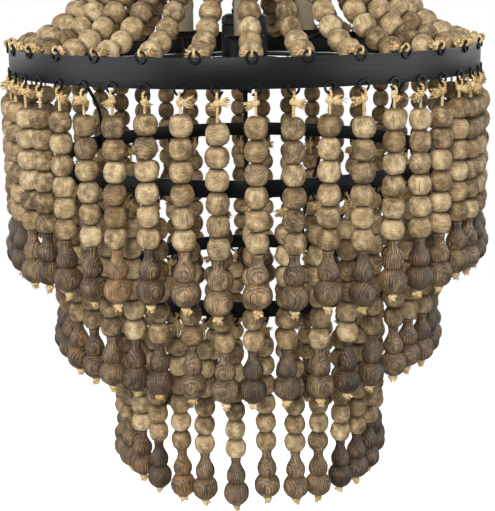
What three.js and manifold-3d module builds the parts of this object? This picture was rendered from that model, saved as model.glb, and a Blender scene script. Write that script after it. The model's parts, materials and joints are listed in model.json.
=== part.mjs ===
// Beaded chandelier: three iron rings, one inside and below the other, each fringed with strings of
// turned wooden beads, under a tent of bead swags that rises to a crown ring on a central column.
// Millimetres, +Z up. The origin is the centre of the mounting bar's face against the ceiling.
// An azimuth is counted in degrees from the front, which is -Y, towards +X.
import * as THREE from 'three';
import { mergeVertices } from 'three/addons/utils/BufferGeometryUtils.js';
import Module from 'manifold-3d';

const wasm = await Module();
wasm.setup();

// Fits
const seatGap = 0.3; // between pieces that touch
const fuseDepth = 0.6; // how far pieces that are one solid sink into each other
const cutOverrun = 2; // how far a cut runs past the face it opens

// Rings of flat bar, rolled on edge
const barThickness = 3;
const outerRingRadius = 305;
const outerBarHeight = 33;
const middleRingInset = 56; // outer ring's face in to the middle ring's
const lowerRingInset = 74; // middle ring's face in to the lower ring's
const innerBarHeight = 20;
const middleRingDrop = 140; // outer ring's top edge down to the middle ring's
const lowerRingDrop = 304; // outer ring's top edge down to the lower ring's

// Rods and spokes that carry the rings
const rodDiameter = 5;
const rodBend = 55; // reach of the bend at each end of a rod
const rodLap = 14; // straight stretch of a rod against a ring
const rodsPerTier = 3;
const upperRodPhase = 0;
const lowerRodPhase = 30;
const spokes = 3;
const spokePhase = 60;
const spokeWidth = 16;
const spokeHeight = 5;
const spokeDrop = 12; // outer ring's top edge down to a spoke's top

// Bead strings
const beadDiameter = 26.6;
const beadPitch = 24.8;
const beadPoleDiameter = 14; // flattened ends, where two beads meet
const beadsPerString = 6;
const firstBeadDrop = 28.5; // ring's bottom edge down to the first bead
const cordDiameter = 4.4;
const finialHeight = 63;
const finialNeckDiameter = 11.4;
const finialUpperDiameter = 22.6;
const finialUpperShare = 0.36; // how far down the finial its upper bulb is widest
const finialWaistDiameter = 18.2;
const finialWaistShare = 0.54;
const finialLowerDiameter = 31.4;
const finialLowerShare = 0.75;
const finialEndDiameter = 9.8;
const cordLap = 4; // how far a fixed string's cord lies on its ring's face

// Eye rings and the loops that swing on them
const eyeWire = 2;
const eyeDiameter = 14;
const loopWire = 2;
const loopDiameter = 8.4;

// Counts of strings, the azimuth of the first, and which string of each third of a ring swings
const outerStrings = 24;
const outerPhase = 2;
const outerSwinger = 0;
const middleStrings = 21;
const middlePhase = 1.7;
const middleSwinger = 2;
const lowerStrings = 15;
const lowerPhase = 6;
const lowerSwinger = 3;
const swingersPerRing = 3;
const swags = 16;
const swagPhase = 1.4;

// Swags and crown
const crownRadius = 130;
const crownBarHeight = 16;
const swagFootRise = 1; // outer ring's top edge up to the foot of a swag
const swagRise = 238.6; // a swag's foot up to its end on the crown ring
const swagFootCord = 9; // bare cord below a swag's first bead
const crownBossDiameter = 40;
const crownBossHeight = 30;
const crownArms = 3;
const crownArmPhase = 60;
const crownArmWidth = 12;
const crownArmHeight = 5;

// Hub and column
const hubDiameter = 60;
const hubRise = 37; // outer ring's top edge up to the hub's top
const hubHeight = 80;
const hubShares = [[0.8, 0], [1, 0.08], [1, 0.82], [0.5, 1]]; // of its radius, and of its height downwards
const hubNutDiameter = 26;
const hubNutHeight = 26;
const hubNutShares = [[0.6, 0], [1, 0.5], [0.5, 0.9], [0, 1]];
const columnDiameter = 30;
const columnWall = 2.5;

// Lamps
const lampRadius = 95; // the column's axis out to a lamp's
const lampArmDiameter = 8;
const lamps = 3;
const lampPhase = 0;
const lampArmDrop = 24; // outer ring's top edge down to where an arm leaves the hub
const lampArmDip = 30;
const lampArmBendShare = 0.8; // of the lamp's radius: where an arm starts to turn up
const cupDiameter = 48;
const cupHeight = 9;
const cupWall = 1.6;
const cupRise = 4; // outer ring's top edge up to a cup's underside
const sleeveDiameter = 26;
const sleeveWall = 1.3;
const sleeveHeight = 74;
const holderHeight = 62;
const holderWellDepth = 24;
const bulbBaseDiameter = 13;
const bulbBaseHeight = 20;
const bulbDiameter = 35;
const bulbHeight = 82;
const bulbNeckHeight = 14; // the lampholder's top up to where the glass swells
const bulbShares = [[1, 0.35], [0.55, 0.75], [0, 1]]; // of the glass's radius, and of its height upwards

// Chain and loops
const chainLinks = 4;
const linkWire = 5;
const linkLength = 42;
const linkWidth = 24;
const loopRingWire = 6;
const loopRingDiameter = 38;
const columnStubHeight = 6;
const columnStubTipShare = 0.8; // of the stub's radius, under the ring

// Canopy and mounting bar
const canopyBarRoom = 9; // mounting bar's end out to the canopy's rim
const canopyDepth = 26;
const canopyWall = 1.8;
const canopyFlatShare = 0.5; // of the canopy's radius
const canopyShoulderShares = [0.86, 0.62]; // of its radius, and of its depth
const canopyNutDiameter = 26;
const canopyNutHeight = 8;
const canopyNutShares = [[0.8, 1], [1, 0.5], [0.9, 0]]; // of its radius, and of its height downwards
const canopyDrop = 10; // how far the canopy can be let down
const stemDiameter = 10;
const mountingBarEnd = 11.55; // a slot's centre out to the bar's end
const mountingBarWidth = 20;
const mountingBarThickness = 2.5;
const mountingSlotSpacing = 88.9;
const mountingSlotLength = 12;
const mountingSlotWidth = 5;
const weldedNutDiameter = 18;
const weldedNutHeight = 12;

// Facets
const stringSides = 4;
const cordSides = 3;
const barSides = 6;
const turnedSides = 8;
const rodSteps = 6;
const linkSegments = 8;
const eyeSegments = 8;
const eyeSides = 4;
const canopySides = 16;
const hubSides = 12;
const slotSteps = 3; // of each round end

// The radius of a polygon's corners when a circle of this radius touches its sides inside.
const around = (radius, sides) => radius / Math.cos(Math.PI / sides);

// The distance from the axis to the middle of a side, for corners at this radius.
const flat = (radius, sides) => radius * Math.cos(Math.PI / sides);

// A polygon's corner radius that gives about the width of a round section.
const even = (radius, sides) => (2 * radius) / (1 + Math.cos(Math.PI / sides));

// Sizes across that follow from others
const middleRingRadius = outerRingRadius - middleRingInset;
const lowerRingRadius = middleRingRadius - lowerRingInset;
const mountingBarLength = mountingSlotSpacing + 2 * mountingBarEnd;
const canopyDiameter = mountingBarLength + 2 * canopyBarRoom;

// Heights, from the ceiling down
const canopyNutTop = -canopyDepth - seatGap;
const canopyRingTop = canopyNutTop - canopyNutHeight - canopyDrop - seatGap;
const stemEnd = canopyRingTop - loopRingWire / 2;
const canopyRingZ = canopyRingTop - loopRingDiameter / 2;
const canopyRingWireZ = canopyRingZ - loopRingDiameter / 2 + loopRingWire / 2;
const firstLinkTop = canopyRingWireZ + loopRingWire / 2 + seatGap + linkWire;
const linkPitch = linkLength - 2 * linkWire - seatGap;
const lastLinkTop = firstLinkTop - (chainLinks - 1) * linkPitch;
const lastWireZ = lastLinkTop - linkLength + linkWire / 2;
const columnRingTop = lastWireZ + linkWire / 2 + seatGap + loopRingWire;
const columnRingZ = columnRingTop - loopRingDiameter / 2;
const bossTop = columnRingZ - loopRingDiameter / 2 - columnStubHeight;
const crownZ = bossTop - crownBossHeight / 2;

// The own length of the catenary that starts level and gains this rise over this span, by Newton's
// steps from the parabola. A greater one hangs flatter.
function catenary(span, rise) {
  let own = span ** 2 / (2 * rise);
  for (let step = 0; step < 20; step += 1) {
    const turn = span / own;
    const gain = Math.cosh(turn) - 1;
    own -= (own * gain - rise) / (gain - turn * Math.sinh(turn));
  }
  return own;
}

// A swag is such a catenary, from its foot to the crown ring's face.
const swagFootRadius = flat(outerRingRadius - barThickness, 2 * outerStrings) - seatGap;
const swagSpan = swagFootRadius - crownRadius;
const swagCurve = catenary(swagSpan, swagRise);
const swagLength = swagCurve * Math.sinh(swagSpan / swagCurve);
const outerTop = crownZ - swagRise - swagFootRise;
const hubTop = outerTop + hubRise;

const toRadians = THREE.MathUtils.degToRad;

// Colours
const surface = (color, roughness, metalness) =>
  new THREE.MeshStandardMaterial({ color, roughness, metalness });
const iron = () => surface(0x24262a, 0.6, 0.7);
const beadWood = () => surface(0xaa916e, 0.75, 0);
const sleeveWhite = () => surface(0xe8dfc8, 0.6, 0);
const porcelain = () => surface(0xd9d4c8, 0.4, 0);
const glass = () => surface(0xf4ecd6, 0.15, 0);

// Places

// The unit vectors of an azimuth: out from the axis, and along the ring.
function bearing(azimuth) {
  const angle = toRadians(azimuth);
  const out = new THREE.Vector3(Math.sin(angle), -Math.cos(angle), 0);
  return { out, along: new THREE.Vector3(-out.y, out.x, 0) };
}

const at = (azimuth, radius, z) => bearing(azimuth).out.multiplyScalar(radius).setZ(z);

const spread = (count, phase = 0) =>
  Array.from({ length: count }, (_, i) => phase + (360 * i) / count);

// Solids

// Welds a geometry's corners and turns its faces outwards.
function closed(geometry) {
  const bare = new THREE.BufferGeometry();
  bare.setAttribute('position', geometry.attributes.position.clone());
  bare.setIndex(geometry.index ? geometry.index.clone() : null);
  const welded = mergeVertices(bare);
  const [a, b, c] = [new THREE.Vector3(), new THREE.Vector3(), new THREE.Vector3()];
  const corners = welded.index.array;
  const place = welded.attributes.position;
  const kept = [];
  let volume = 0;
  for (let i = 0; i < corners.length; i += 3) {
    const [p, q, r] = corners.slice(i, i + 3);
    if (p === q || q === r || r === p) continue;
    kept.push(p, q, r);
    volume += a.fromBufferAttribute(place, p).dot(
      b.fromBufferAttribute(place, q).cross(c.fromBufferAttribute(place, r)),
    );
  }
  if (volume < 0) kept.reverse();
  welded.setIndex(kept);
  return welded;
}

function toSolid(geometry) {
  const shell = closed(geometry);
  return new wasm.Manifold(
    new wasm.Mesh({
      numProp: 3,
      vertProperties: new Float32Array(shell.attributes.position.array),
      triVerts: new Uint32Array(shell.index.array),
    }),
  );
}

function toGeometry(solid) {
  const mesh = solid.getMesh();
  const geometry = new THREE.BufferGeometry();
  geometry.setAttribute('position', new THREE.BufferAttribute(mesh.vertProperties, 3));
  geometry.setIndex(Array.from(mesh.triVerts));
  return geometry;
}

const fuse = (geometries) =>
  toGeometry(geometries.map(toSolid).reduce((whole, solid) => whole.add(solid)));

const cut = (geometry, cutters) =>
  toGeometry(cutters.map(toSolid).reduce((whole, tool) => whole.subtract(tool), toSolid(geometry)));

// A turned piece: a profile of [radius, z] points, which closes on itself or ends on the axis.
function turned(profile, sides, firstCorner = 0) {
  const points = profile.map(([radius, z]) => new THREE.Vector2(radius, z));
  return closed(new THREE.LatheGeometry(points, sides, toRadians(firstCorner)).rotateX(Math.PI / 2));
}

// A profile's points from shares of a radius and of a height, which is counted from a level.
const shaped = (shares, radius, level, height) =>
  shares.map(([across, along]) => [across * radius, level + along * height]);

// A hoop of flat bar. The middle of one of its flats lies at the given azimuth.
function hoop(radius, height, top, sides, azimuth) {
  const inner = radius - barThickness;
  const profile = [[inner, top - height], [radius, top - height], [radius, top], [inner, top]];
  return turned([...profile, profile[0]], sides, azimuth + 180 / sides);
}

// A ring of round wire round the Z axis, drawn out along Y by the given stretch.
function wireRing(diameter, wire, segments, sides, stretch = 0) {
  const middle = around((diameter - wire) / 2, segments);
  const torus = new THREE.TorusGeometry(middle, wire / 2, sides, segments);
  const ring = closed(torus.rotateZ(Math.PI / segments));
  const place = ring.attributes.position;
  for (let i = 0; i < place.count; i += 1) {
    place.setY(i, place.getY(i) + (Math.sign(place.getY(i)) * stretch) / 2);
  }
  return ring;
}

// A bar of round section along a path.
function bar(path, diameter, steps) {
  const corner = new THREE.Vector2(even(diameter / 2, barSides), 0);
  const middle = new THREE.Vector2();
  const section = new THREE.Shape(
    spread(barSides).map((angle) => corner.clone().rotateAround(middle, toRadians(angle))),
  );
  const options = { steps, bevelEnabled: false, extrudePath: path };
  return closed(new THREE.ExtrudeGeometry(section, options));
}

// The skin over a row of polygons, whose counts of corners may differ.
function skin(rings) {
  const points = rings.flat();
  const faces = [];
  let start = 0;
  for (const [i, ring] of rings.entries()) {
    const next = rings[i + 1];
    if (i === 0 || !next) {
      const fan = ring.slice(2).map((_, k) => [start, start + k + 1, start + k + 2]);
      faces.push(...(next ? fan : fan.map((face) => face.reverse())).flat());
    }
    if (next) {
      const [sides, nextSides, nextStart] = [ring.length, next.length, start + ring.length];
      let [p, q] = [0, 0];
      while (p < sides || q < nextSides) {
        const here = start + (p % sides);
        const there = nextStart + (q % nextSides);
        if (q >= nextSides || (p < sides && (p + 1) * nextSides <= (q + 1) * sides)) {
          p += 1;
          faces.push(here, there, start + (p % sides));
        } else {
          q += 1;
          faces.push(here, there, nextStart + (q % nextSides));
        }
      }
    }
    start += ring.length;
  }
  const places = points.flatMap((point) => point.toArray());
  const geometry = new THREE.BufferGeometry();
  geometry.setAttribute('position', new THREE.Float32BufferAttribute(places, 3));
  geometry.setIndex(faces);
  return closed(geometry);
}

// A row of round sections threaded on a line. A station is [distance, radius, sides], and the line
// gives for a distance its point and the two unit vectors of the section's plane.
function threaded(stations, line) {
  return skin(
    stations.map(([distance, radius, sides]) => {
      const { point, right, up } = line(distance);
      return spread(sides).map((angle) => {
        const reach = even(radius, sides);
        return point
          .clone()
          .addScaledVector(right, reach * Math.cos(toRadians(angle)))
          .addScaledVector(up, reach * Math.sin(toRadians(angle)));
      });
    }),
  );
}

// Beads

const cordStation = (distance) => [distance, cordDiameter / 2, cordSides];

// Barrel beads from a distance on: each has its widest station, and two share a flattened pole.
function beadStations(first, count) {
  const stations = [];
  for (let i = 0; i < count; i += 1) {
    if (i > 0) stations.push([first + i * beadPitch, beadPoleDiameter / 2, cordSides]);
    stations.push([first + i * beadPitch + beadPitch / 2, beadDiameter / 2, stringSides]);
  }
  return stations;
}

// The turned finial: two bulbs, the lower one larger.
function finialStations(top) {
  const down = (share) => top + share * finialHeight;
  return [
    [top, finialNeckDiameter / 2, cordSides],
    [down(finialUpperShare), finialUpperDiameter / 2, stringSides],
    [down(finialWaistShare), finialWaistDiameter / 2, stringSides],
    [down(finialLowerShare), finialLowerDiameter / 2, stringSides],
    [top + finialHeight, finialEndDiameter / 2, cordSides],
  ];
}

const lastBeadEnd = firstBeadDrop + beadsPerString * beadPitch;

// A hanging string, by drop below its ring's bottom edge.
const stringStations = (cordTop) => [
  cordStation(cordTop),
  cordStation(firstBeadDrop),
  ...beadStations(firstBeadDrop, beadsPerString),
  ...finialStations(lastBeadEnd),
];

function hangingString(azimuth, radius, ringBottom, cordTop) {
  const { out, along } = bearing(azimuth);
  return threaded(stringStations(cordTop), (drop) => ({
    point: at(azimuth, radius, ringBottom - drop),
    right: out,
    up: along,
  }));
}

// A swag, by length along its catenary from the foot.
function swag(azimuth) {
  const { out, along } = bearing(azimuth);
  const line = (length) => {
    const slope = Math.hypot(swagCurve, length);
    const radius = swagFootRadius - swagCurve * Math.asinh(length / swagCurve);
    const z = outerTop + swagFootRise + slope - swagCurve;
    const up = out.clone().multiplyScalar(length / slope).setZ(swagCurve / slope);
    return { point: at(azimuth, radius, z), right: along, up };
  };
  const room = swagLength - swagFootCord - crownBarHeight / 2 - seatGap;
  const count = Math.floor(room / beadPitch);
  const ends = [0, swagFootCord, swagFootCord + count * beadPitch, swagLength].map(cordStation);
  const beads = beadStations(swagFootCord, count);
  return threaded([...ends.slice(0, 2), ...beads, ...ends.slice(2)], line);
}

// Rings with their strings

// Where a string hangs that swings: on the lowest stretch of an eye ring that stands on its ring's face.
const eyeWireDrop = (eyeDiameter - eyeWire) / 2;
const loopLift = eyeWire / 2 + seatGap + loopWire / 2;

// A ring of wire that stands on edge at an azimuth, turned about the vertical from facing out.
const standingWire = (diameter, wire, azimuth, turn, radius, z) =>
  wireRing(diameter, wire, eyeSegments, eyeSides)
    .rotateX(Math.PI / 2)
    .rotateZ(toRadians(azimuth + turn))
    .translate(...at(azimuth, radius, z).toArray());

// A tier's ring with its fixed strings and its eye rings, and the strings that swing on these.
function tierPieces(name, { radius, height, top, strings, phase, swinger }) {
  const face = flat(radius, 2 * strings);
  const bottom = top - height;
  const swings = (_, i) => i % (strings / swingersPerRing) === swinger;
  const places = spread(strings, phase);
  const swinging = places.filter(swings);
  const wireRadius = face + eyeWire / 2 - fuseDepth;
  const cordRadius = face + flat(even(cordDiameter / 2, cordSides), cordSides) - fuseDepth;
  const fixed = places
    .filter((_, i) => !swings(_, i))
    .map((azimuth) => hangingString(azimuth, cordRadius, bottom, -cordLap));
  const eyes = swinging.map((azimuth) =>
    standingWire(eyeDiameter, eyeWire, azimuth, 0, wireRadius, bottom),
  );
  const swingers = swinging.map((azimuth, i) => {
    const loopDrop = eyeWireDrop - loopLift + (loopDiameter - loopWire) / 2;
    const loop = standingWire(loopDiameter, loopWire, azimuth, 90, wireRadius, bottom - loopDrop);
    const cordTop = loopDrop + loopDiameter / 2 - loopWire / 2;
    const string = hangingString(azimuth, wireRadius, bottom, cordTop);
    return piece(`${name}_string_${i + 1}`, fuse([string, loop]), beadWood());
  });
  const ring = fuse([hoop(radius, height, top, 2 * strings, phase), ...eyes, ...fixed]);
  return [piece(`${name}_ring`, ring, beadWood()), ...swingers];
}

function piece(name, geometry, material) {
  const mesh = new THREE.Mesh(geometry, material);
  mesh.name = name;
  return mesh;
}

// Frame

// A rod from the inner face of one ring to that of a lower, smaller one.
function ringRod(azimuth, upper, lower) {
  const reach = seatGap + even(rodDiameter / 2, barSides);
  const seat = (tier) => flat(tier.radius - barThickness, 2 * tier.strings) - reach;
  const [high, low] = [seat(upper), seat(lower)];
  const start = upper.top - barThickness;
  const end = lower.top - rodLap;
  const landing = lower.top + rodLap;
  const path = new THREE.CurvePath();
  path.add(
    new THREE.CubicBezierCurve3(
      at(azimuth, high, start),
      at(azimuth, high, start - rodBend),
      at(azimuth, low, landing + rodBend),
      at(azimuth, low, landing),
    ),
  );
  path.add(new THREE.LineCurve3(at(azimuth, low, landing), at(azimuth, low, end)));
  return bar(path, rodDiameter, rodSteps);
}

function spoke(azimuth) {
  const inner = hubDiameter / 2 + seatGap;
  const seat = flat(outerRingRadius - barThickness, 2 * outerStrings) - seatGap;
  const outer = Math.sqrt(seat ** 2 - (spokeWidth / 2) ** 2);
  const middle = at(azimuth, (inner + outer) / 2, outerTop - spokeDrop - spokeHeight / 2);
  return new THREE.BoxGeometry(spokeWidth, outer - inner, spokeHeight)
    .rotateZ(toRadians(azimuth))
    .translate(...middle.toArray());
}

// The hub is turned with a collar at its top and a taper at its foot.
function hub() {
  const side = shaped(hubShares, hubDiameter / 2, hubTop, -hubHeight);
  return turned([[0, hubTop], ...side, [0, hubTop - hubHeight]], hubSides);
}

function hubNut() {
  const top = hubTop - hubHeight - seatGap;
  return turned([[0, top], ...shaped(hubNutShares, hubNutDiameter / 2, top, -hubNutHeight)], turnedSides);
}

function column() {
  const radius = columnDiameter / 2;
  const bore = radius - columnWall;
  const [top, bottom] = [bossTop - crownBossHeight - seatGap, hubTop + seatGap];
  const profile = [[bore, bottom], [radius, bottom], [radius, top], [bore, top]];
  return turned([...profile, profile[0]], hubSides);
}

// The spider: a boss on the column and its arms out to the crown ring.
function crownSpider() {
  const radius = crownBossDiameter / 2;
  const bottom = bossTop - crownBossHeight;
  const profile = [[0, bossTop], [radius, bossTop], [radius, bottom], [0, bottom]];
  const seat = flat(crownRadius - barThickness, 2 * swags) - seatGap;
  const reach = Math.sqrt(seat ** 2 - (crownArmWidth / 2) ** 2);
  const root = flat(radius, hubSides) - fuseDepth;
  const arms = spread(crownArms, crownArmPhase).map((azimuth) =>
    new THREE.BoxGeometry(crownArmWidth, reach - root, crownArmHeight)
      .rotateZ(toRadians(azimuth))
      .translate(...at(azimuth, (root + reach) / 2, crownZ).toArray()),
  );
  return fuse([turned(profile, hubSides), ...arms]);
}

function crownRing() {
  const ring = hoop(crownRadius, crownBarHeight, crownZ + crownBarHeight / 2, 2 * swags, swagPhase);
  return fuse([ring, ...spread(swags, swagPhase).map(swag)]);
}

// Lamps

function lampArm(azimuth) {
  const start = outerTop - lampArmDrop;
  const path = new THREE.CubicBezierCurve3(
    at(azimuth, hubDiameter / 2 + seatGap, start),
    at(azimuth, lampRadius * lampArmBendShare, start),
    at(azimuth, lampRadius, start - lampArmDip),
    at(azimuth, lampRadius, outerTop + cupRise - seatGap),
  );
  return bar(path, lampArmDiameter, rodSteps);
}

const cupFloor = cupRise + cupWall;

function lampCup() {
  const [radius, foot] = [cupDiameter / 2, sleeveDiameter / 2];
  return turned(
    [
      [0, cupRise],
      [foot, cupRise],
      [radius, cupRise + cupHeight],
      [radius - cupWall, cupRise + cupHeight],
      [foot + seatGap, cupFloor],
      [0, cupFloor],
    ],
    turnedSides,
  );
}

const sleeveFoot = cupFloor + seatGap;

function candleSleeve() {
  const radius = sleeveDiameter / 2;
  const [bore, top] = [radius - sleeveWall, sleeveFoot + sleeveHeight];
  const profile = [[bore, sleeveFoot], [radius, sleeveFoot], [radius, top], [bore, top]];
  return turned([...profile, profile[0]], turnedSides);
}

const holderTop = sleeveFoot + holderHeight;
const wellRadius = around(bulbBaseDiameter / 2 + seatGap, turnedSides);

function lampholder() {
  const radius = sleeveDiameter / 2 - sleeveWall - seatGap;
  return turned(
    [
      [0, sleeveFoot],
      [radius, sleeveFoot],
      [radius, holderTop],
      [wellRadius, holderTop],
      [wellRadius, holderTop - holderWellDepth],
      [0, holderTop - holderWellDepth],
    ],
    turnedSides,
  );
}

function bulb() {
  const foot = holderTop - bulbBaseHeight;
  const base = bulbBaseDiameter / 2;
  const swell = holderTop + bulbNeckHeight;
  const glassSide = shaped(bulbShares, bulbDiameter / 2, swell, bulbHeight - bulbNeckHeight);
  return turned([[0, foot], [base, foot], [base, swell], ...glassSide], turnedSides);
}

function lampPieces(azimuth, number) {
  const place = at(azimuth, lampRadius, outerTop);
  const makers = [
    ['drip_cup', lampCup, iron],
    ['candle_sleeve', candleSleeve, sleeveWhite],
    ['lampholder', lampholder, porcelain],
    ['bulb', bulb, glass],
  ];
  const standing = makers.map(([name, shape, material]) => {
    const mesh = piece(`${name}_${number}`, shape(), material());
    mesh.position.copy(place);
    return mesh;
  });
  return [piece(`lamp_arm_${number}`, lampArm(azimuth), iron()), ...standing];
}

// Chain, canopy and mounting bar

function chainLink(index) {
  const stretch = linkLength - linkWidth;
  const link = wireRing(linkWidth, linkWire, linkSegments, barSides, stretch).rotateX(Math.PI / 2);
  if (index % 2 === 0) link.rotateZ(Math.PI / 2);
  return link.translate(0, 0, firstLinkTop - index * linkPitch - linkLength / 2);
}

// A ring of round wire that stands on edge, in the plane of X and Z.
const standingRing = (z) =>
  wireRing(loopRingDiameter, loopRingWire, linkSegments, barSides)
    .rotateX(Math.PI / 2)
    .translate(0, 0, z);

function canopyLoop() {
  const radius = stemDiameter / 2;
  const top = -mountingBarThickness - seatGap;
  const stem = turned([[0, top], [radius, top], [radius, stemEnd], [0, stemEnd]], turnedSides);
  return fuse([stem, standingRing(canopyRingZ)]);
}

function columnLoop() {
  const radius = stemDiameter / 2;
  const foot = bossTop + seatGap;
  const top = columnRingZ - loopRingDiameter / 2 + loopRingWire - fuseDepth;
  const profile = [[0, foot], [radius, foot], [radius * columnStubTipShare, top], [0, top]];
  return fuse([turned(profile, turnedSides), standingRing(columnRingZ).rotateZ(Math.PI / 2)]);
}

const stemHole = around(stemDiameter / 2 + seatGap, canopySides);

// A shallow dish, open to the ceiling, with a hole for the stem.
function canopy() {
  const radius = canopyDiameter / 2;
  const [shoulder, shoulderZ] = shaped([canopyShoulderShares], radius, 0, -canopyDepth)[0];
  const [flatEdge, floor] = [radius * canopyFlatShare, -canopyDepth + canopyWall];
  const profile = [
    [stemHole, -canopyDepth],
    [flatEdge, -canopyDepth],
    [shoulder, shoulderZ],
    [radius, 0],
    [radius - canopyWall, 0],
    [shoulder - canopyWall, shoulderZ + canopyWall],
    [flatEdge, floor],
    [stemHole, floor],
  ];
  return turned([...profile, profile[0]], canopySides);
}

function canopyNut() {
  const bottom = canopyNutTop - canopyNutHeight;
  const side = shaped(canopyNutShares, canopyNutDiameter / 2, canopyNutTop, -canopyNutHeight);
  const profile = [[stemHole, bottom], ...side, [stemHole, canopyNutTop]];
  return turned([...profile, profile[0]], canopySides);
}

// A slot's cutter: a flat-sided hole with half-round ends.
function slotCutter(x) {
  const reach = (mountingSlotLength - mountingSlotWidth) / 2;
  const outline = new THREE.Shape();
  outline.absarc(x + reach, 0, mountingSlotWidth / 2, -Math.PI / 2, Math.PI / 2);
  outline.absarc(x - reach, 0, mountingSlotWidth / 2, Math.PI / 2, (3 * Math.PI) / 2);
  const depth = mountingBarThickness + 2 * cutOverrun;
  const options = { depth, bevelEnabled: false, curveSegments: slotSteps };
  return new THREE.ExtrudeGeometry(outline, options)
    .translate(0, 0, -mountingBarThickness - cutOverrun);
}

// The bar against the ceiling, with a welded nut whose hole is blind.
function mountingBar() {
  const plate = new THREE.BoxGeometry(mountingBarLength, mountingBarWidth, mountingBarThickness)
    .translate(0, 0, -mountingBarThickness / 2);
  const outer = weldedNutDiameter / 2;
  const bore = around(stemDiameter / 2 + seatGap, turnedSides);
  const foot = -mountingBarThickness - weldedNutHeight;
  const root = -mountingBarThickness + fuseDepth;
  const profile = [[bore, foot], [outer, foot], [outer, root], [bore, root]];
  const nut = turned([...profile, profile[0]], turnedSides);
  const slots = [-mountingSlotSpacing / 2, mountingSlotSpacing / 2].map(slotCutter);
  return cut(fuse([plate, nut]), slots);
}

// The whole

const outerTier = {
  radius: outerRingRadius,
  height: outerBarHeight,
  top: outerTop,
  strings: outerStrings,
  phase: outerPhase,
  swinger: outerSwinger,
};
const middleTier = {
  radius: middleRingRadius,
  height: innerBarHeight,
  top: outerTop - middleRingDrop,
  strings: middleStrings,
  phase: middlePhase,
  swinger: middleSwinger,
};
const lowerTier = {
  radius: lowerRingRadius,
  height: innerBarHeight,
  top: outerTop - lowerRingDrop,
  strings: lowerStrings,
  phase: lowerPhase,
  swinger: lowerSwinger,
};
const upperRod = (azimuth) => ringRod(azimuth, outerTier, middleTier);
const lowerRod = (azimuth) => ringRod(azimuth, middleTier, lowerTier);

const numbered = (name, azimuths, shape, material) =>
  azimuths.map((azimuth, i) => piece(`${name}_${i + 1}`, shape(azimuth, i), material()));

const chandelier = new THREE.Group();
chandelier.add(
  piece('mounting_bar', mountingBar(), iron()),
  piece('canopy_loop', canopyLoop(), iron()),
  piece('canopy', canopy(), iron()),
  piece('canopy_nut', canopyNut(), iron()),
  ...numbered('chain_link', spread(chainLinks), (_, i) => chainLink(i), iron),
  piece('column_loop', columnLoop(), iron()),
  piece('crown_spider', crownSpider(), iron()),
  piece('crown_ring', crownRing(), beadWood()),
  piece('column', column(), iron()),
  piece('hub', hub(), iron()),
  piece('hub_nut', hubNut(), iron()),
  ...numbered('spoke', spread(spokes, spokePhase), spoke, iron),
  ...numbered('upper_rod', spread(rodsPerTier, upperRodPhase), upperRod, iron),
  ...numbered('lower_rod', spread(rodsPerTier, lowerRodPhase), lowerRod, iron),
  ...tierPieces('outer', outerTier),
  ...tierPieces('middle', middleTier),
  ...tierPieces('lower', lowerTier),
  ...spread(lamps, lampPhase).flatMap((azimuth, i) => lampPieces(azimuth, i + 1)),
);

export default chandelier;
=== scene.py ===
"""Looks of the beaded chandelier: turned wood, jute and black iron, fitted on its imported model.

Lengths are in metres, an azimuth counts in degrees from the front towards +X, and a string's places
are drops below the bottom edge of its ring.
"""

import json
import math
import random

import bpy
from mathutils import Matrix, Vector

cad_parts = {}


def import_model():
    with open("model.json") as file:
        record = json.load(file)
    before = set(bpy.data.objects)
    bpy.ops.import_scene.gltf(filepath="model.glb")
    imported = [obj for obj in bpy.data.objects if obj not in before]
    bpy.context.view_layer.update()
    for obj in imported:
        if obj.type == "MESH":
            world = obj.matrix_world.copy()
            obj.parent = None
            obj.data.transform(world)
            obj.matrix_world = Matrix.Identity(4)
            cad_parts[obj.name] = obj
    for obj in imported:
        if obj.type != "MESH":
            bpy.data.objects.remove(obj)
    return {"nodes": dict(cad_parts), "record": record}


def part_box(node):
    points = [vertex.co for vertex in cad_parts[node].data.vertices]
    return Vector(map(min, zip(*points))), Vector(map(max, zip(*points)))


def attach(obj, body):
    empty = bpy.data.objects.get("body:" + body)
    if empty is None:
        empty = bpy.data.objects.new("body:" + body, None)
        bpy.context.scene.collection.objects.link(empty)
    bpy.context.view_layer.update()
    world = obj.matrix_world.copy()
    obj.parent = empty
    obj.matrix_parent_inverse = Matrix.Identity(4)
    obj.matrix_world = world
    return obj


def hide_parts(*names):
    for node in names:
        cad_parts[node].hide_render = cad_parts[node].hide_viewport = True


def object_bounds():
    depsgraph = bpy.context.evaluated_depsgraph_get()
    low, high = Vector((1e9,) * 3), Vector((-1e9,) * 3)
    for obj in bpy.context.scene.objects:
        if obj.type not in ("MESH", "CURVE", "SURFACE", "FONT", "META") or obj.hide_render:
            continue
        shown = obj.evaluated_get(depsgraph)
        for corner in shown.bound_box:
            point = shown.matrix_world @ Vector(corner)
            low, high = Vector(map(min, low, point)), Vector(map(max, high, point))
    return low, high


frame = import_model()
cad_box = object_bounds()

MM = 0.001
chance = random.Random(7)

# Rings, as the solids have them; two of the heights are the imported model's own
bar_thickness = 3 * MM
outer_radius, outer_bar, outer_count = 305 * MM, 33 * MM, 48
middle_radius, middle_count = 249 * MM, 42
lower_radius, lower_count = 175 * MM, 30
inner_bar = 20 * MM
crown_radius, crown_bar = 130 * MM, 16 * MM
outer_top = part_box("outer_ring")[1].z
middle_top = outer_top - 140 * MM
lower_top = outer_top - 304 * MM
crown_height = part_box("crown_ring")[1].z - crown_bar / 2
seat_gap = 0.3 * MM  # between two pieces that only touch
hub_reach = 30 * MM + seat_gap  # from the axis out to the spokes and lamp arms

# Strings, as the solids have them
cord_radius = 1.7 * MM
bead_pitch = 24.8 * MM
first_bead_drop = 28.5 * MM
beads_per_string = 6
finial_drop = first_bead_drop + beads_per_string * bead_pitch
finial_height = 63 * MM
string_end = finial_drop + finial_height
swag_count = 32
swag_phase = 1.4
swag_foot_cord = 9 * MM
swag_end_cord = 8 * MM
swag_foot_rise = 1 * MM

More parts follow.
